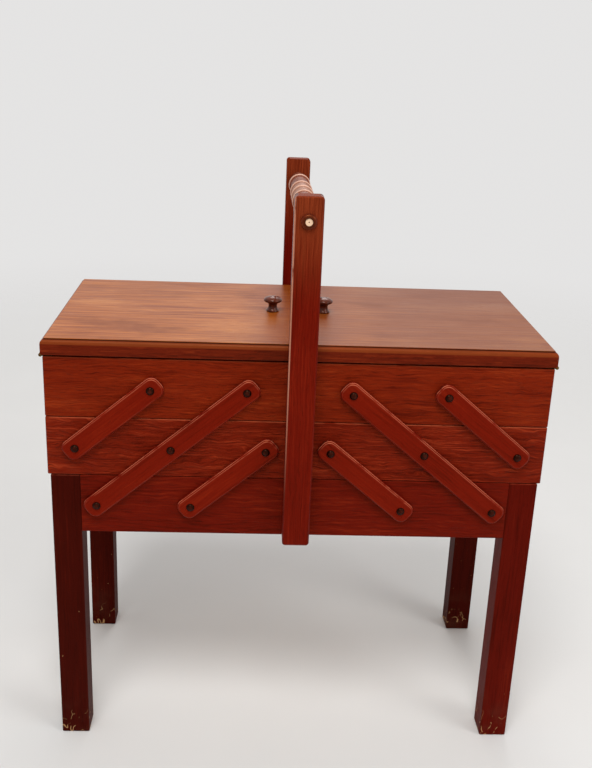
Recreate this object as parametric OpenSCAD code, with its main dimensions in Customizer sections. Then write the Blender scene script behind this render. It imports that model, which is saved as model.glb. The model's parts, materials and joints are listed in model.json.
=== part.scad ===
/* [Trays] */
// Width over the two half trays of a tier, side by side
tray_pair_w = 450; // [400:1:520]
// Depth of the box and the trays, front to back
tray_d = 217; // [190:1:250]
// Height of a tray's boards
tray_h = 55.6; // [50:0.1:70]
// Thickness of the front and back boards
side_t = 9; // [8:0.5:12]
// Thickness of the end boards
end_t = 9; // [8:0.5:12]
// Thickness of the plywood bottoms
ply_t = 3; // [2:0.5:5]
// Depth of the grooves that hold the bottoms
groove_d = 3; // [2:0.5:4]
// Height of the grooves above the lower edge of the boards
groove_up = 4; // [3:0.5:8]
// Depth of the corner rebates that take the end boards
rebate_d = 5; // [4:0.5:6]

/* [Box and legs] */
// Height of the space under the box
leg_clear_h = 224; // [150:1:300]
// Height of the bottom box's boards
box_h = 56.6; // [50:0.1:80]
// Side of the square legs
leg_sq = 26.5; // [22:0.5:32]
// How far the legs stand in from the ends of the trays
leg_inset = 2.4; // [1:0.1:6]
// Length of the tenons that join the boards to the legs
tenon_l = 10; // [6:0.5:12]
// Thickness of the tenons
tenon_t = 4; // [3:0.5:5]
// Shoulder above and below each tenon
tenon_shoulder = 8; // [5:0.5:12]

/* [Handle] */
// Top of the handle above the ground
handle_top_z = 541; // [500:1:620]
// Width of the uprights
upright_w = 24.4; // [20:0.1:26]
// Thickness of the uprights
upright_t = 16; // [12:0.5:20]
// Radius of the uprights' corners
upright_r = 3; // [2:0.5:6]
// Width of the bevel round an upright's outer face
upright_bevel = 1.2; // [0.4:0.1:1.8]
// Thickness of the packing pieces that hold the uprights off the box
packer_t = 5.5; // [4.5:0.1:9]
// Drop from the top of the uprights to the axis of the rod
rod_drop = 20.5; // [18:0.5:30]
// Radius of the rod's waist beside the beads
rod_r = 10.6; // [9:0.1:12]
// Radius of the rod's neck against the uprights
rod_neck_r = 7.4; // [6.6:0.1:8.5]
// Radius of the rod's spigots
spigot_r = 6; // [4:0.1:6.4]
// Extra radius of the middle of the grip
grip_swell = 1.2; // [0:0.1:2]
// Height of the beads on the rod
bead_h = 0.9; // [0.4:0.1:1.5]
// Number of beads on the grip
grip_beads = 6; // [2:1:8]
// Length of the beaded grip
grip_l = 103; // [70:1:110]
// Distance of the end bead from the upright
end_bead_s = 17; // [14:0.5:24]
// Radius of the buttons on the rod's ends
button_r = 6.6; // [6.4:0.1:9]
// Height of the buttons
button_h = 3.2; // [2:0.1:5]
// Radius of the bare disc in the middle of a button
button_disc_r = 3; // [2:0.1:3.5]

/* [Arms and pins] */
// Sideways distance between neighbouring pivots of an arm
pivot_run = 67.2; // [62:0.1:70]
// Distance of the innermost pivot from the middle
pivot_inner = 29.2; // [26:0.1:34]
// Distance of the outermost pivot from the tray's end
pivot_edge = 26; // [20:0.5:32]
// Height of the pivots above a tray's lower edge
pivot_up = 27.8; // [24:0.1:32]
// Width of the arms
arm_w = 20; // [16:0.5:22]
// Thickness of the arms
arm_t = 5; // [3:0.1:5]
// How far an arm runs past its end pivots
arm_end = 11; // [9:0.5:12]
// Radius of the arms' corners
arm_r = 7.5; // [4:0.5:7.5]
// Width of the bevel round an arm's outer face
arm_bevel = 1.4; // [0.4:0.1:2.5]
// Radius of the pivot pins
pin_r = 2; // [1.5:0.1:2.5]
// Radius of the pins' domed heads
head_r = 3.75; // [3:0.05:5]
// Height of the pins' domed heads
head_h = 2.2; // [1.5:0.1:3]
// Length of pin held in a board
pin_grip = 7; // [4:0.5:7]

/* [Lids] */
// Thickness of the lids
lid_t = 14.7; // [11:0.1:20]
// How far the lids reach past the trays
lid_over = 1.5; // [0.5:0.1:2.5]
// Width of the moulding round the lids
mould_run = 3; // [2:0.1:6]
// Depth of the step at the moulding's upper edge
quirk_d = 1.2; // [0.6:0.1:2]
// Depth of the moulding's round
ovolo_d = 4; // [2:0.1:6]
// Distance of the knobs from the middle
knob_x = 24.6; // [23:0.1:40]
// Height of the knobs
knob_h = 17; // [12:0.5:24]
// Radius of the knobs' caps
knob_cap_r = 8.9; // [7:0.1:10]
// Radius of the knobs' feet
knob_foot_r = 7.2; // [6:0.1:9]
// Radius of the knobs' necks
knob_neck_r = 4.6; // [4:0.1:5.5]
// Radius of the knobs' spigots
knob_spigot_r = 3.2; // [2.5:0.1:3.6]
// Length of the knobs' spigots
knob_spigot_l = 8; // [5:0.5:9]

/* [Hinges] */
// Thickness of the hinge leaves
leaf_t = 0.8; // [0.6:0.05:1.2]
// Radius of the hinge knuckles
knuckle_r = 1.6; // [1.5:0.05:2.2]
// Radius of the hinge wires
wire_r = 0.7; // [0.5:0.05:0.9]
// Number of knuckles on a hinge
knuckles = 13; // [5:2:21]

/* [Fits] */
// Gap between one tier and the next
tier_gap = 0.4; // [0.3:0.1:0.8]
// Half of the gap between the left and the right half
mid_gap = 0.5; // [0.3:0.1:1]
// Gap between the arms and the boards
arm_gap = 0.4; // [0.3:0.1:0.6]
// Gap between a pin's head and its arm
head_gap = 0.3; // [0.3:0.1:0.5]
// Radial clearance of an arm on its pin, and of a hinge on its wire
run_fit = 0.05; // [0.03:0.01:0.1]
// Clearance of a glued or driven joint
glue = 0.05; // [0.02:0.01:0.1]
// Gap between the hinge leaves, and beside the knuckles
leaf_gap = 0.1; // [0.05:0.05:0.3]

/* [Hidden] */
$fn = 48;
// Sides of the object: left and right, front and back
LEFT = -1;
RIGHT = 1;
FRONT = -1;
BACK = 1;
// A cut runs this far past the face that it opens
past = 1;
board_color = [0.48, 0.17, 0.08];
end_color = [0.42, 0.13, 0.07];
arm_color = [0.44, 0.10, 0.06];
leg_color = [0.35, 0.08, 0.05];
lid_color = [0.58, 0.36, 0.22];
ply_color = [0.74, 0.58, 0.38];
pin_color = [0.12, 0.07, 0.05];
brass_color = [0.42, 0.31, 0.16];
// Outer faces and heights of the tiers
half_x = tray_pair_w / 2;
half_d = tray_d / 2;
tray_w = half_x - mid_gap;
leg_out_x = half_x - leg_inset;
leg_in_x = leg_out_x - leg_sq;
leg_in_y = half_d - leg_sq;
box_z = leg_clear_h;
box_top_z = box_z + box_h;
middle_z = box_top_z + tier_gap;
top_z = middle_z + tray_h + tier_gap;
rim_z = top_z + tray_h;
lid_z = rim_z + 2 * leaf_t + leaf_gap;
// Pivots: each arm climbs one tier over its run, and the trays keep level
pivot_rise = tray_h + tier_gap;
link_l = sqrt(pivot_run * pivot_run + pivot_rise * pivot_rise);
arm_angle = atan2(pivot_rise, pivot_run);
middle_pivot_z = middle_z + pivot_up;
top_pivot_z = top_z + pivot_up;
box_pivot_z = middle_pivot_z - pivot_rise;
upper_arm_x = half_x - pivot_edge;
lower_arm_x = pivot_inner;
long_mid_x = (upper_arm_x + lower_arm_x) / 2;
box_pivots = [long_mid_x + pivot_run, lower_arm_x + pivot_run];
middle_pivots = [upper_arm_x, long_mid_x, lower_arm_x];
top_pivots = [upper_arm_x - pivot_run, long_mid_x - pivot_run];
arm_out_y = half_d + arm_gap + arm_t;
// Handle
upright_y = half_d + packer_t;
rod_z = handle_top_z - rod_drop;
packer_margin = 3;
screw_r = 1.8;
screw_head_r = 3.6;
screw_head_h = 2.2;
screw_bite = 10;
screw_fit = 0.2;
low_screw_up = 9;
high_screw_down = 14;
screw_rise = [groove_up + ply_t + low_screw_up, box_h - high_screw_down];
rod_points = 72;
rod_collar_l = 2;
bead_half_l = 2.5;
button_rim_h = 1;
button_dish = 0.5;
// Hinge axis, outside the tray's end
hinge_x = half_x + knuckle_r + 2 * leaf_gap;
hinge_z = rim_z + leaf_t + leaf_gap / 2;
leaf_w = end_t - 1;
hinge_end = 1;
knuckle_l = (tray_d - 2 * hinge_end) / knuckles;
knob_foot_h = 2.6;
knob_cap_h = 8.5;
arc_steps = 8;

// The drawing below is of the right half and the front; these two mirror it
module on_side(side) mirror([side == LEFT ? 1 : 0, 0, 0]) children();
module on_face(face) mirror([0, face == BACK ? 1 : 0, 0]) children();
// A round bar or hole along Y, from y0 towards the back
module y_bar(x, y0, z, r, l) translate([x, y0, z]) rotate([-90, 0, 0]) cylinder(r = r, h = l);

// Flat bar along X, from x = 0, with round corners and a bevel c round its upper face
module bar(l, w, t, r, c) {
    translate([r, 0, 0]) rotate([90, 0, 90]) linear_extrude(l - 2 * r)
        polygon([[-w / 2, 0], [w / 2, 0], [w / 2, t - c], [w / 2 - c, t], [c - w / 2, t], [-w / 2, t - c]]);
    translate([0, w / 2 - r, 0]) rotate([90, 0, 0]) linear_extrude(w - 2 * r)
        polygon([[0, 0], [l, 0], [l, t - c], [l - c, t], [c, t], [0, t - c]]);
    for (x = [r, l - r]) for (y = [r - w / 2, w / 2 - r]) translate([x, y, 0]) rotate_extrude()
        polygon([[0, 0], [r, 0], [r, t - c], [r - c, t], [0, t]]);
}

// Holes for the pins in a front board
module pin_holes(xs, z) {
    for (x = xs) y_bar(x, -half_d - past, z, pin_r + glue, pin_grip + past + glue);
}

// Legs, mortised for the boards' tenons
module leg(side, face) color(leg_color) on_side(side) on_face(face) difference() {
    translate([leg_in_x, -half_d, 0]) cube([leg_sq, leg_sq, box_top_z]);
    translate([leg_in_x - past, -half_d + (side_t - tenon_t) / 2 - glue, box_z + tenon_shoulder - glue])
        cube([tenon_l + past + glue, tenon_t + 2 * glue, box_h - 2 * tenon_shoulder + 2 * glue]);
    translate([leg_out_x - (end_t + tenon_t) / 2 - glue, -leg_in_y - tenon_l - glue,
        box_z + tenon_shoulder - glue])
        cube([tenon_t + 2 * glue, tenon_l + past + glue, box_h - 2 * tenon_shoulder + 2 * glue]);
}

// Front or back board of the bottom box, with a tenon at each end
module box_board(face) color(board_color) on_face(face) difference() {
    union() {
        translate([-leg_in_x + glue, -half_d, box_z]) cube([2 * (leg_in_x - glue), side_t, box_h]);
        translate([-leg_in_x - tenon_l, -half_d + (side_t - tenon_t) / 2, box_z + tenon_shoulder])
            cube([2 * (leg_in_x + tenon_l), tenon_t, box_h - 2 * tenon_shoulder]);
    }
    translate([-leg_in_x - past, -half_d + side_t - groove_d, box_z + groove_up - glue])
        cube([2 * (leg_in_x + past), groove_d + past, ply_t + 2 * glue]);
    for (side = [LEFT, RIGHT]) on_side(side) pin_holes(box_pivots, box_pivot_z);
    for (rise = screw_rise) {
        y_bar(0, -half_d - past, box_z + rise, screw_r + screw_fit, side_t + 2 * past);
        translate([0, -half_d + side_t + glue, box_z + rise]) rotate([90, 0, 0])
            cylinder(r1 = screw_head_r + screw_fit, r2 = screw_r + screw_fit, h = screw_head_h + screw_fit);
    }
}

// End board of the bottom box
module box_end(side) color(end_color) on_side(side) difference() {
    union() {
        translate([leg_out_x - end_t, -leg_in_y + glue, box_z]) cube([end_t, 2 * (leg_in_y - glue), box_h]);
        translate([leg_out_x - (end_t + tenon_t) / 2, -leg_in_y - tenon_l, box_z + tenon_shoulder])
            cube([tenon_t, 2 * (leg_in_y + tenon_l), box_h - 2 * tenon_shoulder]);
    }
    translate([leg_out_x - end_t - past, -leg_in_y - past, box_z + groove_up - glue])
        cube([groove_d + past, 2 * (leg_in_y + past), ply_t + 2 * glue]);
}

// Bottom of the box, in the boards' grooves and notched round the legs
module box_bottom() color(ply_color) difference() {
    reach_x = leg_out_x - end_t + groove_d - glue;
    reach_y = half_d - side_t + groove_d - glue;
    translate([-reach_x, -reach_y, box_z + groove_up]) cube([2 * reach_x, 2 * reach_y, ply_t]);
    for (side = [LEFT, RIGHT]) for (face = [FRONT, BACK]) on_side(side) on_face(face)
        translate([leg_in_x - glue, -half_d - past, box_z]) cube([leg_sq + past, leg_sq + past + glue, box_h]);
}

// Upright of the handle, round-cornered at both ends
module upright(face) color(arm_color) on_face(face) difference() {
    translate([0, -upright_y, box_z]) rotate([90, 0, 0]) rotate([0, 0, 90])
        bar(handle_top_z - box_z, upright_w, upright_t, upright_r, upright_bevel);
    y_bar(0, -upright_y - upright_t - past, rod_z, spigot_r + glue, upright_t + 2 * past);
    for (rise = screw_rise)
        y_bar(0, -upright_y - screw_bite - glue, box_z + rise, screw_r + glue, screw_bite + past);
}

// Packing pieces between the box and the uprights, so that the lids clear them
module packers() color(arm_color) for (face = [FRONT, BACK]) on_face(face) difference() {
    translate([-upright_w / 2 + packer_margin / 2, -upright_y + glue, box_z + packer_margin])
        cube([upright_w - packer_margin, packer_t - 2 * glue, box_h - 2 * packer_margin]);
    for (rise = screw_rise)
        y_bar(0, -upright_y - past, box_z + rise, screw_r + screw_fit, packer_t + 2 * past);
}

// Countersunk screws from inside the box into the uprights
module screws() color(pin_color) for (face = [FRONT, BACK]) on_face(face) for (rise = screw_rise) {
    y_bar(0, -upright_y - screw_bite, box_z + rise, screw_r, screw_bite + packer_t + side_t - past);
    translate([0, -half_d + side_t - glue, box_z + rise]) rotate([90, 0, 0])
        cylinder(r1 = screw_head_r, r2 = screw_r, h = screw_head_h);
}

// Radius of the turned rod at a distance s from the upright
rod_span = 2 * upright_y - 2 * glue;
grip_s = (rod_span - grip_l) / 2;
bead_pitch = grip_l / (grip_beads - 1);
function rise_to(s, s0, s1) = s <= s0 ? 0 : s >= s1 ? 1 : (1 - cos(180 * (s - s0) / (s1 - s0))) / 2;
function end_bead(s) = abs(s - end_bead_s) >= bead_half_l ? 0
    : bead_h * (1 + cos(180 * (s - end_bead_s) / bead_half_l)) / 2;
function swell(s) = grip_swell * sin(180 * s / rod_span);
function grip_bead(s) = s < grip_s - bead_pitch / 2 || s > rod_span - grip_s + bead_pitch / 2 ? 0
    : bead_h * (1 + cos(360 * (s - grip_s) / bead_pitch)) / 2;
function rod_radius(s) = let (e = min(s, rod_span - s))
    rod_neck_r + (rod_r - rod_neck_r) * rise_to(e, rod_collar_l, end_bead_s - bead_half_l)
    + swell(s) + end_bead(e) + grip_bead(s);

// Turned rod, with a spigot in each upright
module rod() color(arm_color) translate([0, -rod_span / 2, rod_z]) rotate([-90, 0, 0]) {
    rotate_extrude() polygon(concat([[0, 0]],
        [for (i = [0:rod_points]) [rod_radius(rod_span * i / rod_points), rod_span * i / rod_points]],
        [[0, rod_span]]));
    translate([0, 0, glue - upright_t]) cylinder(r = spigot_r, h = rod_span + 2 * (upright_t - glue));
}

// Domed buttons over the ends of the rod, each with a flat disc in its middle
module buttons() color(arm_color) for (face = [FRONT, BACK]) on_face(face)
    translate([0, -upright_y - upright_t - glue, rod_z]) rotate([90, 0, 0]) rotate_extrude()
        polygon(concat([[0, 0], [button_r, 0], [button_r, button_rim_h]],
            [for (i = [1:arc_steps]) let (a = 90 * i / arc_steps)
                [button_disc_r + (button_r - button_disc_r) * cos(a),
                 button_rim_h + (button_h - button_rim_h) * sin(a)]],
            [[button_disc_r, button_h - button_dish], [0, button_h - button_dish]]));

// Pins that hold the arms: a shank in the board and a domed head on the arm
module pins(xs, z) {
    head_ball_r = (head_r * head_r + head_h * head_h) / (2 * head_h);
    for (face = [FRONT, BACK]) on_face(face) for (x = xs) {
        y_bar(x, -arm_out_y - head_gap, z, pin_r, arm_t + arm_gap + head_gap + pin_grip);
        intersection() {
            translate([x, -arm_out_y - head_gap - head_h + head_ball_r, z]) sphere(r = head_ball_r);
            y_bar(x, -arm_out_y - head_gap - head_h, z, head_r, head_h);
        }
    }
}

// Arm that climbs from its lower pivot towards the middle of the object
module arm(side, face, x, z, spans) color(arm_color) on_side(side) on_face(face)
    translate([x, -half_d - arm_gap, z]) rotate([90, 0, 0]) rotate([0, 0, 180 - arm_angle]) difference() {
        translate([-arm_end, 0, 0]) bar(spans * link_l + 2 * arm_end, arm_w, arm_t, arm_r, arm_bevel);
        for (i = [0:spans]) translate([i * link_l, 0, -past])
            cylinder(r = pin_r + run_fit, h = arm_t + 2 * past);
    }
module long_arm(side, face) arm(side, face, box_pivots[0], box_pivot_z, 2);
module lower_arm(side, face) arm(side, face, box_pivots[1], box_pivot_z, 1);
module upper_arm(side, face) arm(side, face, middle_pivots[0], middle_pivot_z, 1);

// Front or back board of a half tray: grooved for the bottom, rebated for the ends
module tray_board(side, face, z, xs) color(board_color) on_side(side) on_face(face) difference() {
    translate([mid_gap, -half_d, z]) cube([tray_w, side_t, tray_h]);
    translate([mid_gap - past, -half_d + side_t - groove_d, z + groove_up - glue])
        cube([tray_w + 2 * past, groove_d + past, ply_t + 2 * glue]);
    for (x = [mid_gap - past, half_x - end_t - glue])
        translate([x, -half_d + side_t - rebate_d, z - past])
            cube([end_t + past + glue, rebate_d + past, tray_h + 2 * past]);
    pin_holes(xs, z + pivot_up);
}

// End board of a half tray, at the middle or at the outer end
module tray_end(side, z, outer) color(end_color) on_side(side) difference() {
    x = outer ? half_x - end_t : mid_gap;
    groove_x = outer ? x - past : x + end_t - groove_d;
    reach_y = half_d - side_t + rebate_d - glue;
    translate([x, -reach_y, z]) cube([end_t, 2 * reach_y, tray_h]);
    translate([groove_x, -reach_y - past, z + groove_up - glue])
        cube([groove_d + past, 2 * (reach_y + past), ply_t + 2 * glue]);
}

// Plywood bottom of a half tray, in the grooves of its four boards
module tray_bottom(side, z) color(ply_color) on_side(side) {
    reach_y = half_d - side_t + groove_d - glue;
    x0 = mid_gap + end_t - groove_d + glue;
    translate([x0, -reach_y, z + groove_up])
        cube([half_x - end_t + groove_d - glue - x0, 2 * reach_y, ply_t]);
}

// Leaf of a piano hinge: a strip, and a tab and knuckle at every second place
module hinge_leaf(side, leaf_z, first) on_side(side) {
    plate_x = hinge_x - knuckle_r - 3 * leaf_gap;
    translate([half_x - leaf_w, -half_d + hinge_end, leaf_z])
        cube([plate_x - half_x + leaf_w, tray_d - 2 * hinge_end, leaf_t]);
    difference() {
        for (i = [first:2:knuckles - 1]) {
            y0 = -half_d + hinge_end + i * knuckle_l + leaf_gap;
            y_bar(hinge_x, y0, hinge_z, knuckle_r, knuckle_l - 2 * leaf_gap);
            translate([plate_x - leaf_gap, y0, leaf_z]) cube([hinge_x - plate_x, knuckle_l - 2 * leaf_gap, leaf_t]);
        }
        y_bar(hinge_x, -half_d, hinge_z, wire_r + (first == 1 ? run_fit : 0), tray_d);
    }
}
module fixed_hinge(side) color(brass_color) {
    hinge_leaf(side, rim_z, 0);
    on_side(side) y_bar(hinge_x, -half_d + hinge_end + leaf_gap, hinge_z, wire_r,
        tray_d - 2 * (hinge_end + leaf_gap));
}
module lid_hinge(side) color(brass_color) hinge_leaf(side, lid_z - leaf_t, 1);

// Moulded edge of a lid, from its lower corner up to the raised panel
function lid_edge(reach) = concat([[reach, 0], [reach, lid_t - quirk_d - ovolo_d]],
    [for (i = [1:arc_steps]) let (a = 90 * i / arc_steps)
        [reach - mould_run + mould_run * cos(a), lid_t - quirk_d - ovolo_d + ovolo_d * sin(a)]],
    [[reach - mould_run, lid_t]]);
function flipped(points) = [for (i = [len(points) - 1:-1:0]) [-points[i][0], points[i][1]]];

// Lid: the moulding runs round the front, the outer end and the back
module lid(side) color(lid_color) on_side(side) difference() {
    intersection() {
        translate([0, 0, lid_z]) rotate([90, 0, 90]) linear_extrude(half_x + lid_over)
            polygon(concat(lid_edge(half_d + lid_over), flipped(lid_edge(half_d + lid_over))));
        translate([0, tray_d, lid_z]) rotate([90, 0, 0]) linear_extrude(2 * tray_d)
            polygon(concat([[mid_gap, 0]], lid_edge(half_x + lid_over), [[mid_gap, lid_t]]));
    }
    y_bar(hinge_x, -tray_d, hinge_z, knuckle_r + 3 * leaf_gap, 2 * tray_d);
    translate([knob_x, 0, lid_z + lid_t - knob_spigot_l - glue])
        cylinder(r = knob_spigot_r + glue, h = knob_spigot_l + past);
}

// Turned knob: a foot, a thin neck and a domed cap, with a spigot in the lid
module knob(side) color(pin_color) on_side(side) translate([knob_x, 0, lid_z + lid_t + glue]) {
    cap_z = knob_h - knob_cap_h;
    neck_h = cap_z - knob_foot_h;
    rotate_extrude() polygon(concat([[0, 0], [knob_foot_r, 0], [knob_foot_r, knob_foot_h / 2]],
        [for (i = [0:arc_steps]) let (a = 180 * i / arc_steps)
            [knob_neck_r + (knob_foot_r - knob_neck_r) * (1 - sin(a / 2)) ,
             knob_foot_h / 2 + (knob_foot_h / 2 + neck_h / 2) * i / arc_steps]],
        [for (i = [0:2 * arc_steps]) let (a = -90 + 180 * i / (2 * arc_steps))
            [knob_neck_r * (1 - (a + 90) / 180) + (knob_cap_r - knob_neck_r * (1 - (a + 90) / 180)) * cos(a),
             cap_z + knob_cap_h * (1 + sin(a)) / 2]]));
    translate([0, 0, -knob_spigot_l]) cylinder(r = knob_spigot_r, h = knob_spigot_l + knob_foot_h / 2);
}

leg(LEFT, FRONT);  // leg_front_left
leg(RIGHT, FRONT);  // leg_front_right
leg(LEFT, BACK);  // leg_back_left
leg(RIGHT, BACK);  // leg_back_right
box_board(FRONT);  // box_front_board
box_board(BACK);  // box_back_board
box_end(LEFT);  // box_left_end
box_end(RIGHT);  // box_right_end
box_bottom();
upright(FRONT);  // upright_front
upright(BACK);  // upright_back
packers();  // upright_packers
screws();  // upright_screws
rod();  // handle_rod
buttons();  // rod_end_buttons
color(pin_color) for (side = [LEFT, RIGHT]) on_side(side) pins(box_pivots, box_pivot_z);  // box_pivot_pins
long_arm(LEFT, FRONT);  // long_arm_left_front
long_arm(LEFT, BACK);  // long_arm_left_back
long_arm(RIGHT, FRONT);  // long_arm_right_front
long_arm(RIGHT, BACK);  // long_arm_right_back
lower_arm(LEFT, FRONT);  // lower_arm_left_front
lower_arm(LEFT, BACK);  // lower_arm_left_back
lower_arm(RIGHT, FRONT);  // lower_arm_right_front
lower_arm(RIGHT, BACK);  // lower_arm_right_back
upper_arm(LEFT, FRONT);  // upper_arm_left_front
upper_arm(LEFT, BACK);  // upper_arm_left_back
upper_arm(RIGHT, FRONT);  // upper_arm_right_front
upper_arm(RIGHT, BACK);  // upper_arm_right_back
tray_board(LEFT, FRONT, middle_z, middle_pivots);  // middle_tray_left_front
tray_board(LEFT, BACK, middle_z, middle_pivots);  // middle_tray_left_back
tray_end(LEFT, middle_z, false);  // middle_tray_left_inner_end
tray_end(LEFT, middle_z, true);  // middle_tray_left_outer_end
tray_bottom(LEFT, middle_z);  // middle_tray_left_bottom
color(pin_color) on_side(LEFT) pins(middle_pivots, middle_pivot_z);  // middle_tray_left_pins
tray_board(RIGHT, FRONT, middle_z, middle_pivots);  // middle_tray_right_front
tray_board(RIGHT, BACK, middle_z, middle_pivots);  // middle_tray_right_back
tray_end(RIGHT, middle_z, false);  // middle_tray_right_inner_end
tray_end(RIGHT, middle_z, true);  // middle_tray_right_outer_end
tray_bottom(RIGHT, middle_z);  // middle_tray_right_bottom
color(pin_color) on_side(RIGHT) pins(middle_pivots, middle_pivot_z);  // middle_tray_right_pins
tray_board(LEFT, FRONT, top_z, top_pivots);  // top_tray_left_front
tray_board(LEFT, BACK, top_z, top_pivots);  // top_tray_left_back
tray_end(LEFT, top_z, false);  // top_tray_left_inner_end
tray_end(LEFT, top_z, true);  // top_tray_left_outer_end
tray_bottom(LEFT, top_z);  // top_tray_left_bottom
color(pin_color) on_side(LEFT) pins(top_pivots, top_pivot_z);  // top_tray_left_pins
fixed_hinge(LEFT);  // top_tray_left_hinge
tray_board(RIGHT, FRONT, top_z, top_pivots);  // top_tray_right_front
tray_board(RIGHT, BACK, top_z, top_pivots);  // top_tray_right_back
tray_end(RIGHT, top_z, false);  // top_tray_right_inner_end
tray_end(RIGHT, top_z, true);  // top_tray_right_outer_end
tray_bottom(RIGHT, top_z);  // top_tray_right_bottom
color(pin_color) on_side(RIGHT) pins(top_pivots, top_pivot_z);  // top_tray_right_pins
fixed_hinge(RIGHT);  // top_tray_right_hinge
lid(LEFT);  // lid_left
lid_hinge(LEFT);  // lid_left_hinge
knob(LEFT);  // lid_left_knob
lid(RIGHT);  // lid_right
lid_hinge(RIGHT);  // lid_right_hinge
knob(RIGHT);  // lid_right_knob
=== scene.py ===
# %% [markdown]
# A wooden sewing carrier on four legs. A box and two pairs of trays swing apart on flat arms, two lids
# close the top trays, and a turned rod between two uprights carries it all. The construction comes in
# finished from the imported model, so this lesson is about looks: softened edges, stained and varnished
# wood whose grain follows each board, worn corners, dark nail heads and a plain studio.

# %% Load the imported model
import json
import math
import random
import bmesh
import bpy
from mathutils import Matrix, Vector


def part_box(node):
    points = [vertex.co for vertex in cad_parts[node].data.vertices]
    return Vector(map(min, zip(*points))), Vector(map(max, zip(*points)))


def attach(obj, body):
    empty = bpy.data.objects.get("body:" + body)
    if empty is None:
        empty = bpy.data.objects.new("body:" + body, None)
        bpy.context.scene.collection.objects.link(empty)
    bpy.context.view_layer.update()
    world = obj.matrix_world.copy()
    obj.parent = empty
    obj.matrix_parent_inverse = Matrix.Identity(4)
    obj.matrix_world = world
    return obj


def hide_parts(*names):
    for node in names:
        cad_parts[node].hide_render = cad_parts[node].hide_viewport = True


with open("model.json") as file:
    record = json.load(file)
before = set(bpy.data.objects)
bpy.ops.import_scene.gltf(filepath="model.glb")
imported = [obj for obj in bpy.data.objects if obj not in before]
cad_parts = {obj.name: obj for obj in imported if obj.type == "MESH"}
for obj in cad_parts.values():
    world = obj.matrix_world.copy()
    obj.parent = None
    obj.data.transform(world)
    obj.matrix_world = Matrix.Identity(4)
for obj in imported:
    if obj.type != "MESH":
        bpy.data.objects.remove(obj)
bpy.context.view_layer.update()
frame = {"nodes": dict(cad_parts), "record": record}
cad_nodes = frame["nodes"]
bodies = frame["record"]["behaviour"]["bodies"]
BODY_OF = {node: body for body, names in bodies.items() for node in names}
mm = 0.001

# %% [markdown]
# The camera looks down on the lids from in front, a little left of the middle. It could be placed by
# eye, but its place was solved from the corners, feet and pivots of the object, so that the picture
# can be compared point by point. A small roll about the view direction is part of it, because the
# picture isn't quite level.

# %% Camera
eye = Vector((-44.4, -936.9, 666.8)) * mm
aim = Vector((1.0, 0.0, 334.4)) * mm
lens_mm, sensor_mm = 46.8, 36.0
roll = math.radians(2.335)
camera = bpy.data.objects.new("camera", bpy.data.cameras.new("camera"))
bpy.context.scene.collection.objects.link(camera)
camera.data.lens, camera.data.sensor_width = lens_mm, sensor_mm
level = (aim - eye).to_track_quat("-Z", "Y").to_matrix()
camera.location = eye
camera.rotation_euler = (level @ Matrix.Rotation(roll, 3, "Z")).to_euler()
bpy.context.scene.camera = camera
print("camera", round((aim - eye).length, 3), "m from the middle of the object")

# %% [markdown]
# Shader maths reads best as arithmetic. A Field is a value that varies over a surface, and adding or
# multiplying Fields makes Math nodes, so a pattern can be written on one line instead of being wired
# by hand.

# %% Fields
class Field:
    """An output socket of a shader node, ready for arithmetic."""

    def __init__(self, finish, socket):
        self.finish, self.socket = finish, socket

    def maths(self, operation, *others):
        return self.finish.maths(operation, self, *others)

    def __add__(self, other):
        return self.maths("ADD", other)

    def __sub__(self, other):
        return self.maths("SUBTRACT", other)

    def __rsub__(self, other):
        return self.finish.maths("SUBTRACT", other, self)

    def __mul__(self, other):
        return self.maths("MULTIPLY", other)

    def __pow__(self, other):
        return self.maths("POWER", other)

    __radd__, __rmul__ = __add__, __mul__

    def step(self, low, high):
        """0 below low and 1 above high, with a smooth climb between; low may be the larger."""
        return self.finish.field("ShaderNodeMapRange", {"interpolation_type": "SMOOTHSTEP"},
                                 {"Value": self, "From Min": low, "From Max": high})


print("Fields can be added, subtracted, multiplied and raised to a power")

# %% [markdown]
# A Finish is a material under construction. Its node method adds any node from a type, its settings
# and the values of its sockets, and the other methods are short names for the few nodes that every
# finish here needs. A world has nodes too, so the same class builds the studio's light.

# %% Finishes
# The Mix node has sockets for every kind of data. These are the numbers of the ones for colours.
MIX_FACTOR, MIX_FIRST, MIX_SECOND, MIX_RESULT = 0, 6, 7, 2


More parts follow.
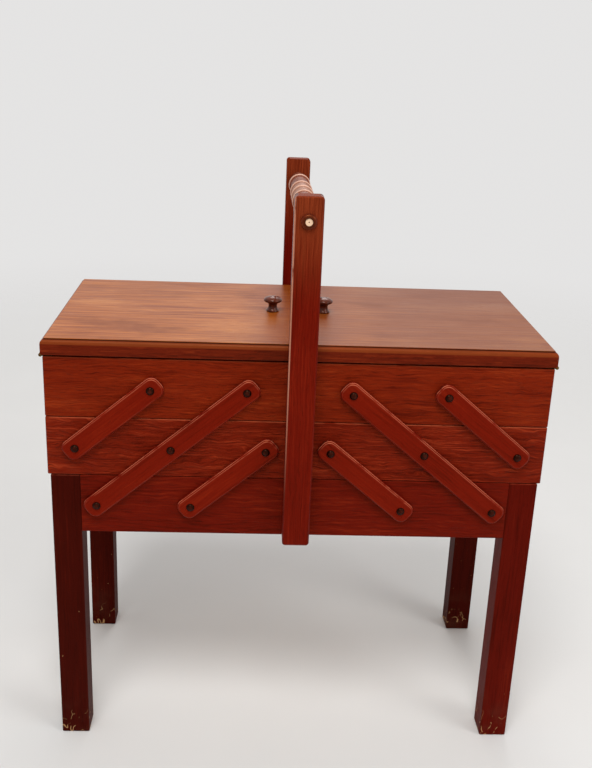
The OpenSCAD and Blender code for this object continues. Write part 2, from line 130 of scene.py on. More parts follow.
class Finish:
    def __init__(self, owner, shader="Principled BSDF"):
        owner.use_nodes = True
        self.owner, self.tree = owner, owner.node_tree
        self.shader = self.tree.nodes[shader]

    def put(self, socket, value):
        """Link a Field to a socket, or write a plain value into it."""
        if isinstance(value, Field):
            self.tree.links.new(value.socket, socket)
        else:
            socket.default_value = value

    def node(self, kind, settings=None, sockets=None):
        made = self.tree.nodes.new(kind)
        for name, value in (settings or {}).items():
            setattr(made, name, value)
        for name, value in (sockets or {}).items():
            self.put(made.inputs[name], value)
        return made

    def field(self, kind, settings=None, sockets=None, output=0):
        return Field(self, self.node(kind, settings, sockets).outputs[output])

    def maths(self, operation, *values):
        return self.field("ShaderNodeMath", {"operation": operation}, dict(enumerate(values)))

    def attribute(self, name, output="Vector"):
        """A value kept in the piece's mesh: Vector is three numbers and Fac is one."""
        return self.field("ShaderNodeAttribute", {"attribute_name": name}, output=output)

    def place(self):
        """The point's place on the piece in metres, which moves with the piece."""
        return self.field("ShaderNodeTexCoord", output="Object")

    def axes(self, vector):
        split = self.node("ShaderNodeSeparateXYZ", sockets={0: vector})
        return [Field(self, output) for output in split.outputs]

    def noise(self, vector, repeats=1.0, detail=3.0, roughness=0.55):
        return self.field("ShaderNodeTexNoise", {"normalize": True}, {
            "Vector": vector, "Scale": repeats, "Detail": detail, "Roughness": roughness})

    def stretched(self, vector, repeats, detail=3.0, roughness=0.55):
        """Noise with its own number of repeats per metre on each of the three axes."""
        scaled = self.field("ShaderNodeMapping", sockets={"Vector": vector, "Scale": repeats})
        return self.noise(scaled, 1.0, detail, roughness)

    def mix(self, factor, first, second):
        return self.field("ShaderNodeMix", {"data_type": "RGBA"},
                          {MIX_FACTOR: factor, MIX_FIRST: first, MIX_SECOND: second}, output=MIX_RESULT)

    def bump(self, height, distance):
        return self.field("ShaderNodeBump", None, {"Height": height, "Distance": distance, "Strength": 1.0})

    def set(self, **values):
        """Fill the shader's own sockets; an underscore stands for a space in a socket's name."""
        for name, value in values.items():
            self.put(self.shader.inputs[name.replace("_", " ")], value)


def tint(red, green, blue):
    """A colour as a picture editor gives it, 0 to 255, in the linear values that shaders use."""
    linear = [c / 255 / 12.92 if c <= 10 else ((c / 255 + 0.055) / 1.055) ** 2.4 for c in (red, green, blue)]
    return (*linear, 1.0)


def shaded(colour, share):
    return (*(c * share for c in colour[:3]), 1.0)


print("a middle grey of 128 is", round(tint(128, 128, 128)[0], 3), "in linear light")

# %% [markdown]
# Wood is long fibres, so every pattern is stretched along the board. Each piece carries an attribute
# named grain: x runs along the fibres, y across the face and z through the board, in metres, shifted
# by a different amount on each piece, as if each was sawn from another plank. Slow noise bends the
# fibres, a stretched noise gives the short wavy streaks of the figure, a finer one the single fibres,
# and a threshold on the finest gives the open pores that hold the dark stain. A photo of wood could be
# used instead, but it would repeat and couldn't turn with each board.

# %% Wood: fibres
# Repeats per metre along, across and through the board.
DRIFT, RIPPLE, CLOUD = (6, 30, 30), (42, 90, 90), (7, 24, 24)
PORE, RUB = (90, 2400, 2400), (60, 160, 160)
BAND_WIDTH = 11 * mm


def bent_fibres(made, bend_mm):
    """The grain with its fibres bent sideways, and how far across and through the board a point is."""
    along, across, through = made.axes(made.grain)
    drift = made.stretched(made.grain, DRIFT, 2.0) - 0.5
    ripple = made.stretched(made.grain, RIPPLE, 2.0) - 0.5
    bent = across + drift * (bend_mm * 2.2 * mm) + ripple * (bend_mm * 0.9 * mm)
    fibres = made.field("ShaderNodeCombineXYZ", None, {"X": along, "Y": bent, "Z": through})
    return fibres, bent, through


print("growth bands are", round(BAND_WIDTH / mm), "mm wide")

# %% [markdown]
# The stain sits on those fibres in three tones: deep, middle and light. Two more attributes say where
# it is thin or thick, and where a highlight is painted. The edge attribute is 1 on the rounded edges
# that face up, where hands have rubbed the stain away and where light from above falls, so its pale
# tone is partly wear and partly a painted highlight, and end is 1 on sawn ends, which drink more stain
# and stay dull. Varnish over red stain throws back a warm light, so its reflection is tinted, which
# keeps dark wood from looking grey. Marks that only one piece has come from a function of their own,
# given as after.

# %% Wood: stain and varnish
WARM_GLOSS = (1.0, 0.30, 0.08, 1.0)


def wood(name, deep, middle, light, streak_mm=(20, 2.4), bend_mm=7.0, figure=1.0, bands=0.25, pores=0.5,
         relief_mm=0.06, rough=0.42, gloss=0.16, wear_and_highlight_tone=None, wear_and_highlight_share=0.6, after=None):
    """A stained wood. A streak is streak_mm long and wide, the fibres wander by bend_mm, figure, bands
    and pores say how strongly each shows, and relief_mm is the depth of the grain under the varnish."""
    made = Finish(bpy.data.materials.new(name))
    made.grain = made.attribute("grain")
    fibres, bent, through = bent_fibres(made, bend_mm)
    length, width = (1.0 / (size * mm) for size in streak_mm)
    streak = made.stretched(fibres, (length, width, width), 3.0, 0.62)
    made.fibre = made.stretched(fibres, (length * 1.6, width * 3.4, width * 3.4), 2.0, 0.6)
    cloud = made.stretched(made.grain, CLOUD)
    band = ((bent + through * 0.4) * (2 * math.pi / BAND_WIDTH)).maths("SINE") * 0.5
    pore = made.stretched(fibres, PORE, 1.0, 0.5).step(0.60, 0.72)
    tone = (streak - 0.5) * (1.7 * figure) + (made.fibre - 0.5) * (0.9 * figure) + (cloud - 0.5) * 0.9
    tone = tone + band * (bands * 0.35) + 0.5
    end = made.attribute("end", "Fac").step(0.80, 0.97)
    wear_and_highlight = made.attribute("wear_and_highlight", "Fac") * made.stretched(made.grain, RUB).step(0.32, 0.52)

    stained = made.mix(tone.step(0.12, 0.50), deep, middle)
    stained = made.mix(tone.step(0.52, 0.92), stained, light)
    stained = made.mix(pore * pores, stained, shaded(deep, 0.32))
    stained = made.mix(end * 0.7, stained, shaded(deep, 0.8))
    # painted highlight and wear: rounded edges that face up are mixed towards a pale tone
    made.colour = made.mix(wear_and_highlight * wear_and_highlight_share, stained, wear_and_highlight_tone or light)
    made.height = streak + made.fibre * 0.6 - pore * 0.4
    made.rough = rough + (made.fibre - 0.5) * 0.25 + wear_and_highlight * 0.06 + end * 0.25
    made.set(Specular_IOR_Level=gloss, Specular_Tint=WARM_GLOSS)
    if after:
        after(made)
    made.set(Base_Color=made.colour, Roughness=made.rough, Normal=made.bump(made.height, relief_mm * mm))
    return made.owner


print("varnish reflects", WARM_GLOSS[:3])

# %% [markdown]
# The trays and the box are boards of an open-grained hardwood under a red-brown stain. The middle
# trays show the strongest wavy figure, the top trays are calmer, and the box is calm and darker. One
# recipe with other numbers makes them all, so they look like wood from the same bench.

# %% Board finishes
finishes = {}
finishes["middle_board"] = wood(
    "wavy_tray_board", tint(82, 11, 4), tint(114, 25, 9), tint(150, 50, 25), streak_mm=(34, 1.3),
    bend_mm=9.0, figure=0.95, relief_mm=0.5, wear_and_highlight_tone=tint(176, 84, 54), wear_and_highlight_share=0.6)
finishes["top_board"] = wood(
    "calm_tray_board", tint(88, 15, 5), tint(120, 30, 9), tint(144, 48, 18), streak_mm=(28, 1.2),
    bend_mm=6.0, figure=0.8, relief_mm=0.36, wear_and_highlight_tone=tint(166, 74, 44), wear_and_highlight_share=0.5)
finishes["tray_end"] = wood(
    "stained_tray_end", tint(74, 12, 4), tint(108, 24, 8), tint(138, 46, 18), streak_mm=(24, 1.8),
    relief_mm=0.25, wear_and_highlight_tone=tint(150, 60, 32), wear_and_highlight_share=0.4)
finishes["box_board"] = wood(
    "stained_box_board", tint(74, 7, 3), tint(99, 14, 6), tint(120, 28, 11), streak_mm=(34, 2.2),
    bend_mm=6.0, figure=0.8, relief_mm=0.16, wear_and_highlight_tone=tint(136, 48, 28), wear_and_highlight_share=0.35)
print(len(finishes), "board finishes")

# %% [markdown]
# The arms and uprights took more red stain and have a straight, quiet grain. The arms' upper edges are
# rubbed to pale wood and carry a painted highlight as well. The front upright has a pale line painted
# down its left front edge, and both uprights turn brown towards the rod, where hands hold them, so
# those marks are placed by height and side.

# %% Arm and upright finishes
UPRIGHT_FACE, UPRIGHT_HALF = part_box("upright_front")[0].y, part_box("upright_front")[1].x


def handled_upright(made):
    x, y, z = made.axes(made.place())
    patchy = made.noise(made.place(), 45.0).step(0.22, 0.38)
    front = y.step(UPRIGHT_FACE + 2.6 * mm, UPRIGHT_FACE + 1.0 * mm)
    left = x.step(-UPRIGHT_HALF + 1.3 * mm, -UPRIGHT_HALF + 0.9 * mm)
    # a pale line painted in patches down the front upright's left front edge, above 250 mm
    pale_line = left * front * z.step(250 * mm, 400 * mm) * patchy
    brown = made.mix(made.fibre.step(0.36, 0.62), tint(96, 34, 15), tint(142, 62, 32))
    made.colour = made.mix(z.step(440 * mm, 530 * mm) * 0.75, made.colour, brown)
    made.colour = made.mix(pale_line * 0.75, made.colour, tint(212, 148, 120))


finishes["arm"] = wood(
    "red_stained_arm", tint(88, 9, 3), tint(112, 17, 6), tint(130, 29, 10), streak_mm=(60, 2.2),
    bend_mm=3.0, figure=0.6, bands=0.1, pores=0.35, relief_mm=0.08, rough=0.34, gloss=0.18,
    wear_and_highlight_tone=tint(216, 124, 92), wear_and_highlight_share=0.85)
finishes["upright"] = wood(
    "red_stained_upright", tint(82, 8, 3), tint(103, 14, 6), tint(122, 26, 11), streak_mm=(70, 1.5),
    bend_mm=3.0, figure=0.8, bands=0.1, relief_mm=0.12, rough=0.36, gloss=0.15,
    wear_and_highlight_tone=tint(160, 66, 40), after=handled_upright)
print("uprights are", round(UPRIGHT_HALF * 2 / mm, 1), "mm wide")

# %% [markdown]
# The legs are the darkest wood, and their feet are scuffed down to pale wood by years of floors. Thin
# scratches come from the narrow band where a noise crosses its middle, chips from its highest peaks,
# and a dusty veil hides the stain near the ground. The front right leg took the stain redder.

# %% Leg finishes
def scuffed_feet(made):
    place = made.place()
    x, y, z = made.axes(place)
    foot = z.step(34 * mm, 4 * mm)
    crossing = (made.stretched(place, (75, 75, 45), 2.0) - 0.5).maths("ABSOLUTE")
    scratch = crossing.step(0.020, 0.006) * made.noise(place, 130.0, 2.0).step(0.47, 0.56) * foot
    chips = made.noise(place, 230.0, 3.0, 0.6).step(0.71, 0.745) * z.step(260 * mm, 20 * mm)
    dust = made.noise(place, 42.0, 4.0).step(0.45, 0.75) * z.step(70 * mm, 0.0)
    made.colour = made.mix(dust * 0.25, made.colour, tint(92, 60, 46))
    made.colour = made.mix(scratch.maths("MAXIMUM", chips) * 0.85, made.colour, tint(186, 142, 96))
    made.rough = made.rough + dust * 0.2
    made.height = made.height - scratch * 1.2


leg_wood = {"streak_mm": (70, 2.2), "bend_mm": 3.0, "figure": 0.6, "bands": 0.1, "pores": 0.4,
            "relief_mm": 0.10, "rough": 0.55, "gloss": 0.07, "after": scuffed_feet}
finishes["leg"] = wood("dark_stained_leg", tint(44, 5, 3), tint(60, 9, 5), tint(74, 14, 7),
                       wear_and_highlight_tone=tint(110, 44, 30), **leg_wood)
finishes["red_leg"] = wood("red_stained_leg", tint(66, 7, 3), tint(88, 13, 6), tint(102, 22, 10),
                           wear_and_highlight_tone=tint(134, 50, 32), **leg_wood)
print(len(finishes), "finishes with the legs")

# %% [markdown]
# The lids have faded to tan on top, where light and hands reach them, and stay red-brown on their
# edges. Their varnish is the glossiest on the object, so it gets a clear coat. The faded colour is
# mixed in by height, which follows the lid when it opens, because Object coordinates move with it.
# The same height finds the quirk, the fine groove under the top, which is painted dark as shade, and
# the ovolo, the rounding below it. Near the uprights the tops carry a painted shadow.

# %% Lid finish
LID_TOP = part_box("lid_left")[1].z


def faded_top(made):
    x, y, z = made.axes(made.place())
    top = z.step(LID_TOP - 0.5 * mm, LID_TOP - 0.1 * mm)
    # painted shade: the quirk groove under the top is mixed dark
    quirk_shade = z.step(LID_TOP - 1.6 * mm, LID_TOP - 1.1 * mm) - top
    ovolo = z.step(LID_TOP - 5.6 * mm, LID_TOP - 4.6 * mm) * z.step(LID_TOP - 1.2 * mm, LID_TOP - 1.6 * mm)
    lines = made.stretched(made.grain, (9, 260, 260), 4.0, 0.6)
    blush = made.stretched(made.grain, (10, 24, 24), 4.0, 0.65)
    shaded_side = x.step(-60 * mm, 130 * mm) * 0.62 + y.step(-40 * mm, 110 * mm) * 0.16
    # painted shadow of the uprights: the lids' tops are darker near the middle
    upright_shadow = x.maths("ABSOLUTE").step(64 * mm, 14 * mm)
    bleached = made.mix(lines.step(0.30, 0.70), tint(134, 60, 16), tint(186, 106, 38))
    bleached = made.mix(blush.step(0.50, 0.70) * 0.6, bleached, tint(112, 48, 14))
    bleached = made.mix(blush.step(0.46, 0.30) * 0.5, bleached, tint(200, 122, 50))
    bleached = made.mix(shaded_side, bleached, tint(112, 52, 20))
    bleached = made.mix(upright_shadow * 0.6, bleached, tint(126, 52, 12))
    made.colour = made.mix(ovolo * 0.6, made.colour, tint(136, 62, 26))
    made.colour = made.mix(quirk_shade * 0.85, made.colour, tint(50, 12, 4))
    made.colour = made.mix(top, made.colour, bleached)
    made.rough = made.rough + (blush - 0.5) * 0.3
    made.set(Coat_Weight=top * 0.14, Coat_Roughness=0.24, Coat_IOR=1.45,
             Specular_Tint=(1.0, 0.55, 0.25, 1.0))


finishes["lid"] = wood(
    "faded_lid", tint(70, 12, 4), tint(98, 23, 8), tint(124, 40, 15), streak_mm=(60, 2.0),
    bend_mm=6.0, figure=0.9, pores=0.25, rough=0.36, gloss=0.14,
    wear_and_highlight_tone=tint(190, 116, 66), wear_and_highlight_share=0.7, after=faded_top)
print("lid faded above", round(LID_TOP, 4), "m")

# %% [markdown]
# The carrying rod is rubbed pale on the grip and keeps its stain in the coves. Its rings are rubbed
# pale too and carry a painted highlight where they catch the light. On a turned piece, how far a point
# stands from the axis tells a ring from a cove, so the colour follows that distance.

# %% Rod finish
rod_low, rod_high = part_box("handle_rod")
ROD_Z = (rod_low.z + rod_high.z) / 2
CREST = 10.9 * mm


def from_rod_axis(made):
    """How far a point is from the rod's axis, and its place along it."""
    x, y, z = made.axes(made.place())
    height = z - ROD_Z
    return (x * x + height * height) ** 0.5, y


def rubbed_and_lit_rings(made):
    radius, y = from_rod_axis(made)
    grip = y.maths("ABSOLUTE").step(40 * mm, 16 * mm)
    # painted highlight and wear: the crests of the rings are mixed pale
    crest = radius.step(CREST - 1.1 * mm, CREST - 0.5 * mm)
    made.colour = made.mix(grip * 0.6, made.colour, tint(176, 130, 108))
    made.colour = made.mix(crest * 0.8, made.colour, tint(222, 174, 150))


finishes["rod"] = wood(
    "hand_worn_and_lit_rod", tint(84, 30, 18), tint(118, 58, 40), tint(146, 84, 62), streak_mm=(30, 1.6),
    bend_mm=2.0, pores=0.6, relief_mm=0.10, rough=0.40, gloss=0.3, after=rubbed_and_lit_rings)
print("rod rubbed where it is over", round(CREST / mm - 1.1, 1), "mm in radius")

# %% [markdown]
# The bottoms are plain plywood, seen only when the trays are open. Plywood has long, soft streaks and
# no varnish, so it is the same recipe with paler tones and a rougher surface.

# %% Plywood finish
finishes["plywood"] = wood(
    "plywood", tint(150, 104, 62), tint(182, 138, 90), tint(204, 164, 116), streak_mm=(110, 4.0),
    bend_mm=8.0, pores=0.15, relief_mm=0.04, rough=0.6, gloss=0.25)
print(len(finishes), "wooden finishes")

# %% [markdown]
# The knobs are turned from dark wood under thick varnish, with caps that fingers have rubbed lighter
# and that carry a painted highlight on top, and a button of stained wood with a bare disc, a painted
# shadow ring round it and a dark dot covers each end of the rod. The knob's varnish hides its grain, so
# it is built from plain spots under a clear coat.

# %% Knob and button finishes
KNOB_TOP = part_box("lid_left_knob")[1].z - 1.5 * mm


def knob_finish():
    made = Finish(bpy.data.materials.new("polished_knob"))
    spots = made.noise(made.place(), 320.0)
    x, y, z = made.axes(made.place())
    # painted highlight and finger wear: the top of the cap is mixed lighter
    cap = z.step(KNOB_TOP - 5 * mm, KNOB_TOP - 1 * mm)
    colour = made.mix(spots.step(0.35, 0.7), tint(52, 14, 6), tint(84, 32, 17))
    colour = made.mix(cap * 0.35, colour, tint(126, 62, 40))
    made.set(Base_Color=colour, Roughness=0.24 + spots * 0.12, Normal=made.bump(spots, 0.05 * mm))
    made.set(Coat_Weight=0.35, Coat_Roughness=0.12, Specular_IOR_Level=0.2, Specular_Tint=WARM_GLOSS)
    return made.owner


def pale_disc(made):
    radius, y = from_rod_axis(made)
    disc = radius.step(3.15 * mm, 2.95 * mm)
    # painted shadow: a dark ring round the pale disc
    ring = radius.step(4.3 * mm, 3.9 * mm) - disc
    dot = radius.step(0.7 * mm, 0.45 * mm)
    made.colour = made.mix(ring * 0.7, made.colour, tint(48, 12, 6))
    made.colour = made.mix(disc, made.colour, tint(236, 204, 172))
    made.colour = made.mix(dot * 0.8, made.colour, tint(70, 40, 26))


finishes["knob"] = knob_finish()
finishes["button"] = wood(
    "rod_button", tint(56, 12, 6), tint(84, 24, 13), tint(110, 42, 24), streak_mm=(30, 1.8), bend_mm=3.0,
    rough=0.28, gloss=0.5, after=pale_disc)
print("knobs rubbed above", round(KNOB_TOP - 5 * mm, 4), "m")

# %% [markdown]
# The nails that hold the arms are domed and browned like the wood, and the rim of each dome is painted
# dark as shade. The screws are dull steel and the hinges dull brass. Each is a patchy mix of a dark and
# a bright tone. The nails are browned all over, so they are a coloured surface and not bare metal.

# %% Metal finishes
BRASS_GLOSS, NAIL_GLOSS = (1.0, 0.62, 0.42, 1.0), (1.0, 0.42, 0.24, 1.0)


def metal_finish(name, dark, bright, metal, rough, repeats, gloss=0.5, gloss_tint=BRASS_GLOSS, rim_shade=0.0):
    made = Finish(bpy.data.materials.new(name))
    patches = made.noise(made.place(), repeats, 4.0, 0.6)
    colour = made.mix(patches.step(0.38, 0.68), dark, bright)
    if rim_shade:
        # painted shade: the rim of each dome is darkened
        slope = made.attribute("end", "Fac").step(0.97, 0.75)
        colour = made.mix(slope * rim_shade, colour, shaded(dark, 0.35))
    made.set(Base_Color=colour, Metallic=metal, Roughness=rough + patches * 0.16,
             Normal=made.bump(patches, 0.05 * mm), Specular_IOR_Level=gloss, Specular_Tint=gloss_tint)
    return made.owner


finishes["pin"] = metal_finish("browned_nail", tint(36, 9, 5), tint(68, 21, 12), 0.0, 0.20, 260.0,
                               gloss=0.12, gloss_tint=NAIL_GLOSS, rim_shade=0.9)
finishes["screw"] = metal_finish("dull_steel", tint(70, 62, 56), tint(120, 112, 104), 0.9, 0.38, 700.0)
finishes["hinge"] = metal_finish("tarnished_brass", tint(78, 54, 28), tint(124, 92, 50), 0.9, 0.32, 70.0)
print(len(finishes), "finishes in all")

# %% [markdown]
# A finish needs to know the wood it lies on, so every piece gets three attributes: the grain, read
# off its own directions along and across the fibres, the wear and painted highlight of its rounded
# edges, and how much a point faces along the grain, which is 1 on a sawn end. The piece then takes its
# node's place and rides on the same body. Weighted normals keep the large faces flat beside the
# rounded edges.

# %% Finishing a piece
UP, RIGHT, BACK = (0, 0, 1), (1, 0, 0), (0, 1, 0)
STOCK_SHIFT = 3.0
dressed = []


def rubbed_and_lit(vertex):
    """Wear and painted highlight on a rounded edge: 1 where it faces up to hands and light, else 0.1."""
    return 0.1 + 0.9 * min(max((vertex.normal.z - 0.2) / 0.3, 0.0), 1.0)


def finish_piece(bm, node, finish, along, across, rounded=()):
    """Turn a bmesh into node's dressed piece; rounded holds the faces made by the bevel."""
    along, across = Vector(along).normalized(), Vector(across).normalized()
    through = along.cross(across)
    stock = random.Random(node)
    shift = Vector(stock.uniform(-STOCK_SHIFT, STOCK_SHIFT) for axis in range(3))
    bm.normal_update()
    # wear and painted highlight, strongest on the rounded edges that face up
    wear_and_highlight = [rubbed_and_lit(v) if rounded and all(f in rounded for f in v.link_faces) else 0.0 for v in bm.verts]
    end = [abs(along.dot(v.normal)) for v in bm.verts]
    places = [Vector((along.dot(v.co), across.dot(v.co), through.dot(v.co))) + shift for v in bm.verts]
    mesh = bpy.data.meshes.new(node + "_dressed")
    bm.to_mesh(mesh)
    bm.free()
    grain = [number for place in places for number in place]
    mesh.attributes.new("grain", "FLOAT_VECTOR", "POINT").data.foreach_set("vector", grain)
    mesh.attributes.new("wear_and_highlight", "FLOAT", "POINT").data.foreach_set("value", wear_and_highlight)
    mesh.attributes.new("end", "FLOAT", "POINT").data.foreach_set("value", end)
    mesh.shade_smooth()
    mesh.materials.append(finishes[finish])
    piece = bpy.data.objects.new(node + "_dressed", mesh)
    bpy.context.scene.collection.objects.link(piece)
    normals = piece.modifiers.new("flat_faces", "WEIGHTED_NORMAL")
    normals.weight, normals.keep_sharp = 100, True
    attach(piece, BODY_OF[node])
    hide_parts(node)
    dressed.append(piece)


print("planks are shifted by up to", STOCK_SHIFT, "m so that no two pieces share a pattern")

# %% [markdown]
# A sawn board has no perfectly sharp edge, and the thin line of light along each edge is what makes
# it look solid. So a wooden node is copied, its loose triangles are merged into faces, and its sharp
# edges are bevelled. A Bevel modifier could do it, but here small bores can be left out by the length
# of their edges, and the new faces are known, so that only they take the wear and painted highlight.

# %% Dressing a node
FLAT_ANGLE, SHARP_ANGLE = math.radians(1.0), math.radians(24.0)
SAME_POINT = 0.002 * mm


def dress(node, finish, edge_mm, along=RIGHT, across=UP, segments=3, keep=lambda edge: True):
    """Round the sharp edges that keep allows by edge_mm, and finish the copy as node's new skin."""
    bm = bmesh.new()
    bm.from_mesh(cad_nodes[node].data)
    bmesh.ops.remove_doubles(bm, verts=bm.verts, dist=SAME_POINT)
    bmesh.ops.dissolve_limit(bm, angle_limit=FLAT_ANGLE, verts=bm.verts, edges=bm.edges)
    bm.normal_update()
    sharp = [e for e in bm.edges if e.is_manifold and e.calc_face_angle(0) > SHARP_ANGLE and keep(e)]
    rounded = set()
    if edge_mm:
        result = bmesh.ops.bevel(bm, geom=sharp, offset=edge_mm * mm, offset_type="OFFSET", affect="EDGES",
                                 segments=segments, profile=0.5, clamp_overlap=True, material=-1)
        rounded = set(result["faces"])
    finish_piece(bm, node, finish, along, across, rounded)


def long_edge(edge):
    """True on a board's own edges, and not round its nail holes or grooves' ends."""
    return edge.calc_length() > 3.0 * mm


def outline(edge):
    """True away from the small bores, whose rims are drawn with steps of 0.3 mm."""
    return edge.calc_length() > 0.5 * mm


print("edges sharper than", round(math.degrees(SHARP_ANGLE)), "degrees are rounded")

# %% [markdown]
# The boards. Grain runs along each board's length: across the object on the fronts and backs, and
# from front to back on the ends. Only long edges are rounded, which leaves the nail holes crisp. The
# last word of a node's name says what kind of board it is.

# %% Boards of the box and the trays
BOARD_EDGE, PLYWOOD_EDGE = 1.1, 0.3
for node in cad_nodes:
    kind, last = node.split("_")[0], node.split("_")[-1]
    if kind in ("middle", "top") and last in ("front", "back"):
        dress(node, kind + "_board", BOARD_EDGE, keep=long_edge)
    elif kind in ("middle", "top") and last == "end":
        dress(node, "tray_end", BOARD_EDGE, along=BACK, keep=long_edge)
    elif kind == "box" and last in ("board", "end"):
        dress(node, "box_board", BOARD_EDGE, along=BACK if last == "end" else RIGHT, keep=long_edge)
    elif last == "bottom":
        dress(node, "plywood", PLYWOOD_EDGE, across=BACK, keep=long_edge)
print(len(dressed), "boards and bottoms")

# %% [markdown]
# The legs are square lengths of wood with the grain upright and softened corners. Each lid is one
# board with a moulded edge, so it gets only a hair of rounding, which keeps the moulding's lines.

# %% Legs and lids
LEG_EDGE, LID_EDGE = 1.2, 0.35
for node in [name for name in cad_nodes if name.startswith("leg_")]:
    stain = "red_leg" if node == "leg_front_right" else "leg"
    dress(node, stain, LEG_EDGE, along=UP, across=RIGHT, keep=long_edge)
for node in ("lid_left", "lid_right"):
    dress(node, "lid", LID_EDGE, across=BACK, segments=2, keep=outline)
print(len(dressed), "pieces dressed so far")

# %% [markdown]
# The arms lean, so their grain axis leans too. It is read off the arm's own box: once the share that
# the arm's width adds is taken off, the height and the width of the box give the slope. The left arms
# climb to the right and the right arms to the left.

# %% Arms and uprights
ARM_WIDTH, ARM_EDGE, UPRIGHT_EDGE, PACKER_EDGE = 20 * mm, 0.5, 0.6, 0.4
WIDTH_IN_CLIMB, WIDTH_IN_RUN = 0.77, 0.64
for node in [name for name in cad_nodes if "_arm_" in name]:
    low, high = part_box(node)
    climb = high.z - low.z - ARM_WIDTH * WIDTH_IN_CLIMB
    run = high.x - low.x - ARM_WIDTH * WIDTH_IN_RUN
    slope = math.atan2(climb, run)
    side = 1 if "_left_" in node else -1
    lean = (side * math.cos(slope), 0, math.sin(slope))
    square = (-side * math.sin(slope), 0, math.cos(slope))
    dress(node, "arm", ARM_EDGE, along=lean, across=square, keep=outline)
for node in ("upright_front", "upright_back"):
    dress(node, "upright", UPRIGHT_EDGE, along=UP, across=RIGHT, keep=outline)
dress("upright_packers", "upright", PACKER_EDGE, along=UP, across=RIGHT, keep=long_edge)
print("arms lean", round(math.degrees(slope), 1), "degrees,", len(dressed), "pieces dressed so far")

# %% [markdown]
# The rod and the knobs were turned on a lathe, so each is one profile, a row of radius and length
# pairs, spun once round its axis. A ready cylinder could be pushed into shape ring by ring, but a
# profile is how a turner draws it too.

# %% Turning on the lathe
def in_order(elements, place):
    """Sort verts or faces by their place, because spin leaves them in another order each run."""
    ranks = sorted(elements, key=lambda element: [round(c, 6) for c in place(element)])
    rank = {element: number for number, element in enumerate(ranks)}
    elements.sort(key=rank.get)


def turned(node, finish, profile, centre, axis, steps=64):
    """profile holds (radius, length along the axis) pairs in mm, measured from centre in metres."""
    bm = bmesh.new()
    points = [bm.verts.new((radius * mm, 0, length * mm)) for radius, length in profile]
    for first, second in zip(points, points[1:]):
        bm.edges.new((first, second))
    bmesh.ops.spin(bm, geom=bm.verts[:] + bm.edges[:], cent=(0, 0, 0), axis=UP, dvec=(0, 0, 0),
                   angle=2 * math.pi, steps=steps, use_merge=True)
    bmesh.ops.remove_doubles(bm, verts=bm.verts, dist=0.001 * mm)
    turn = Vector(UP).rotation_difference(Vector(axis)).to_matrix().to_4x4()
    bmesh.ops.transform(bm, matrix=Matrix.Translation(centre) @ turn, verts=bm.verts)
    bmesh.ops.recalc_face_normals(bm, faces=bm.faces)
    in_order(bm.verts, lambda vert: vert.co)
    in_order(bm.faces, lambda face: face.calc_center_median())
    finish_piece(bm, node, finish, axis, RIGHT)


def arc(radius_from, radius_to, length_from, length_to, bulge, steps=7):
    """A rounded stretch of profile: a straight line pushed outward by bulge at its middle."""
    stretch = []
    for t in (i / steps for i in range(steps + 1)):
        radius = radius_from + (radius_to - radius_from) * t + bulge * math.sin(math.pi * t)
        stretch.append((radius, length_from + (length_to - length_from) * t))
    return stretch


print("an arc has", len(arc(1, 1, 0, 1, 0)), "points")

# %% [markdown]
# From each upright the rod has a long neck, a bold bead, a cove and a ring, and one more ring marks
# its middle, which makes five. Only half of it is drawn, and the other half is the same row turned
# round. A spigot at each end sits in the upright.

# %% Carrying rod
half_length = (rod_high.y - rod_low.y) / 2 / mm
inner_face = 114.0
spigot = [(0, half_length), (6.0, half_length), (6.0, inner_face), (7.4, inner_face - 0.2)]
neck, bead = arc(7.2, 8.0, inner_face - 2.0, 77.4, -0.4), arc(8.6, 8.6, 77.0, 69.0, 2.3)
cove, ring = arc(8.9, 9.3, 68.4, 31.6, -0.8), arc(9.5, 9.5, 31.2, 25.4, 1.3)
grip, middle_ring = arc(9.3, 9.3, 24.8, 3.6, -0.4), arc(9.6, 9.6, -3.2, 3.2, 1.2)
half = spigot + neck + bead + cove + ring + grip
rod_profile = [(radius, -length) for radius, length in half] + middle_ring + half[::-1]
middle_of_rod = Vector((0, (rod_low.y + rod_high.y) / 2, ROD_Z))
turned("handle_rod", "rod", rod_profile, middle_of_rod, BACK)
widest = max(radius for radius, length in rod_profile)
print("rod", round(2 * half_length, 1), "mm long,", round(widest * 2, 1), "mm at its widest")

# %% [markdown]
# A knob has a spread foot, a short neck and a flat cap, and a spigot that goes into the lid. It takes
# its place and the width of its cap from its node, whose top is a fixed height above the lid.

# %% Knobs
NODE_TOP_OVER_LID = 17 * mm
for node in ("lid_left_knob", "lid_right_knob"):
    low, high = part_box(node)
    cap = (high.x - low.x) / 2 / mm
    foot = [(0, -4), (3.1, -4), (3.1, 0), (5.6, 0), (6.1, 0.5), (6.0, 1.3), (5.0, 2.4)]
    neck = [(4.3, 4.0), (4.1, 5.8), (4.4, 7.4), (5.4, 8.6), (7.4, 9.3)]
    head = [(cap - 0.5, 10.0), (cap, 11.0), (cap - 0.3, 12.1), (cap - 1.5, 13.2), (cap - 3.4, 14.1),
            (cap - 6, 14.8), (1.4, 15.1), (0, 15.1)]
    base = Vector(((low.x + high.x) / 2, (low.y + high.y) / 2, high.z - NODE_TOP_OVER_LID))
    turned(node, "knob", foot + neck + head, base, UP)
print("knobs", round(2 * cap, 1), "mm across and", head[-1][1], "mm high")

# %% [markdown]
# The buttons over the rod's ends, the nails, the screws and the hinges are already round or thin, so
# their edges stay as they are and only the finish is new. A nail's along is the way it is driven in,
# which lets its finish tell the crown from the rim.

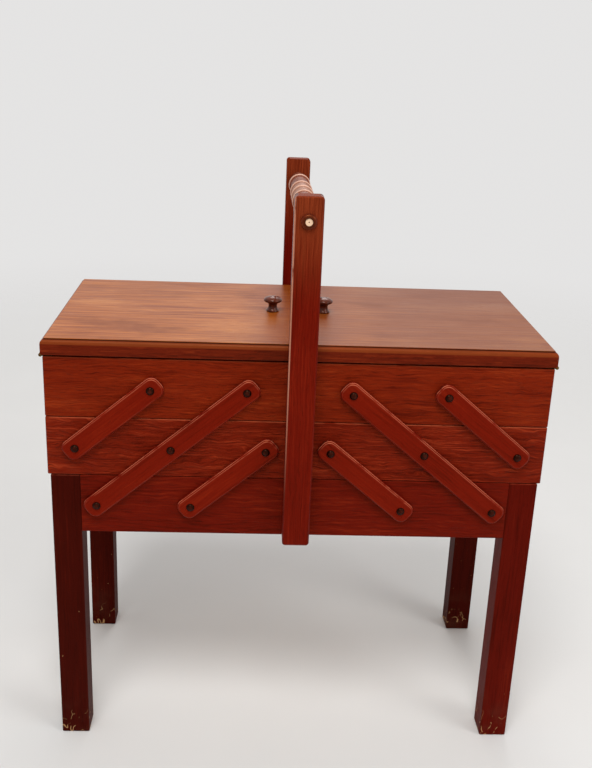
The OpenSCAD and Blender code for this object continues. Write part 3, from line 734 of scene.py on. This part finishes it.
# %% Buttons and metal
METAL = {"pins": ("pin", BACK), "screws": ("screw", RIGHT), "hinge": ("hinge", RIGHT)}
dress("rod_end_buttons", "button", 0.0, along=BACK, across=UP)
for node in cad_nodes:
    last = node.split("_")[-1]
    if last in METAL:
        finish, along = METAL[last]
        dress(node, finish, 0.0, along=along)
print(len(dressed), "of", len(cad_nodes), "nodes dressed")

# %% [markdown]
# A plain studio starts with a round pale floor that keeps the soft shadow. A floor that ended in a
# hard edge would show a horizon, so its material fades out with the distance from the middle, into a
# plain pale backdrop.

# %% Floor
FLOOR_RADIUS, SOLID_TO, GONE_BY = 2.4, 0.75, 2.2
floor_mesh = bpy.data.meshes.new("floor")
bm = bmesh.new()
just_below = Matrix.Translation((0, 0, -0.2 * mm))
bmesh.ops.create_circle(bm, cap_ends=True, segments=96, radius=FLOOR_RADIUS, matrix=just_below)
bm.to_mesh(floor_mesh)
bm.free()
floor = bpy.data.objects.new("floor", floor_mesh)
bpy.context.scene.collection.objects.link(floor)
paper = Finish(bpy.data.materials.new("pale_floor"))
x, y, z = paper.axes(paper.place())
distance = (x * x + y * y) ** 0.5
mottle = paper.noise(paper.place(), 9.0)
paper.set(Base_Color=paper.mix(mottle, tint(220, 219, 217), tint(224, 223, 221)), Roughness=0.8,
          Specular_IOR_Level=0.1, Alpha=distance.step(GONE_BY, SOLID_TO))
floor_mesh.materials.append(paper.owner)
print("floor fades out from", SOLID_TO, "to", GONE_BY, "m")

# %% [markdown]
# The light is a large soft lamp above and in front, weaker ones at the right and behind, and a soft
# world that fills the shadows. The camera, and rays that bounce off varnish or pass through glass,
# see the backdrop a little brighter than the light it gives, which keeps it pale without washing out
# the wood.

# %% Lamps and world
BACKDROP, SKYLIGHT = 0.78, 0.5
LAMP_WIDTH, LIT_POINT = 1.2, Vector((0, 0, 0.3))
LAMPS = {"key": ((-0.25, -1.35, 2.65), 42), "fill": ((1.8, -1.2, 1.6), 14), "back": ((0.2, 1.9, 2.2), 16)}
for name, (place, watts) in LAMPS.items():
    light = bpy.data.lights.new(name, "AREA")
    light.shape, light.size, light.energy = "DISK", LAMP_WIDTH, watts
    lamp = bpy.data.objects.new(name, light)
    lamp.location = place
    lamp.rotation_euler = (LIT_POINT - Vector(place)).to_track_quat("-Z", "Y").to_euler()
    bpy.context.scene.collection.objects.link(lamp)
world = bpy.data.worlds.new("studio")
bpy.context.scene.world = world
air = Finish(world, "Background")
rays = air.node("ShaderNodeLightPath").outputs
by_camera, by_gloss, by_glass = (Field(air, rays["Is " + kind + " Ray"])
                                 for kind in ("Camera", "Glossy", "Transmission"))
seen = by_camera.maths("MAXIMUM", by_gloss).maths("MAXIMUM", by_glass)
air.set(Color=(1.0, 0.99, 0.985, 1.0), Strength=seen * (BACKDROP - SKYLIGHT) + SKYLIGHT)
bpy.context.scene.view_settings.view_transform = "Standard"
print(len(LAMPS), "lamps, backdrop", BACKDROP, "and skylight", SKYLIGHT)
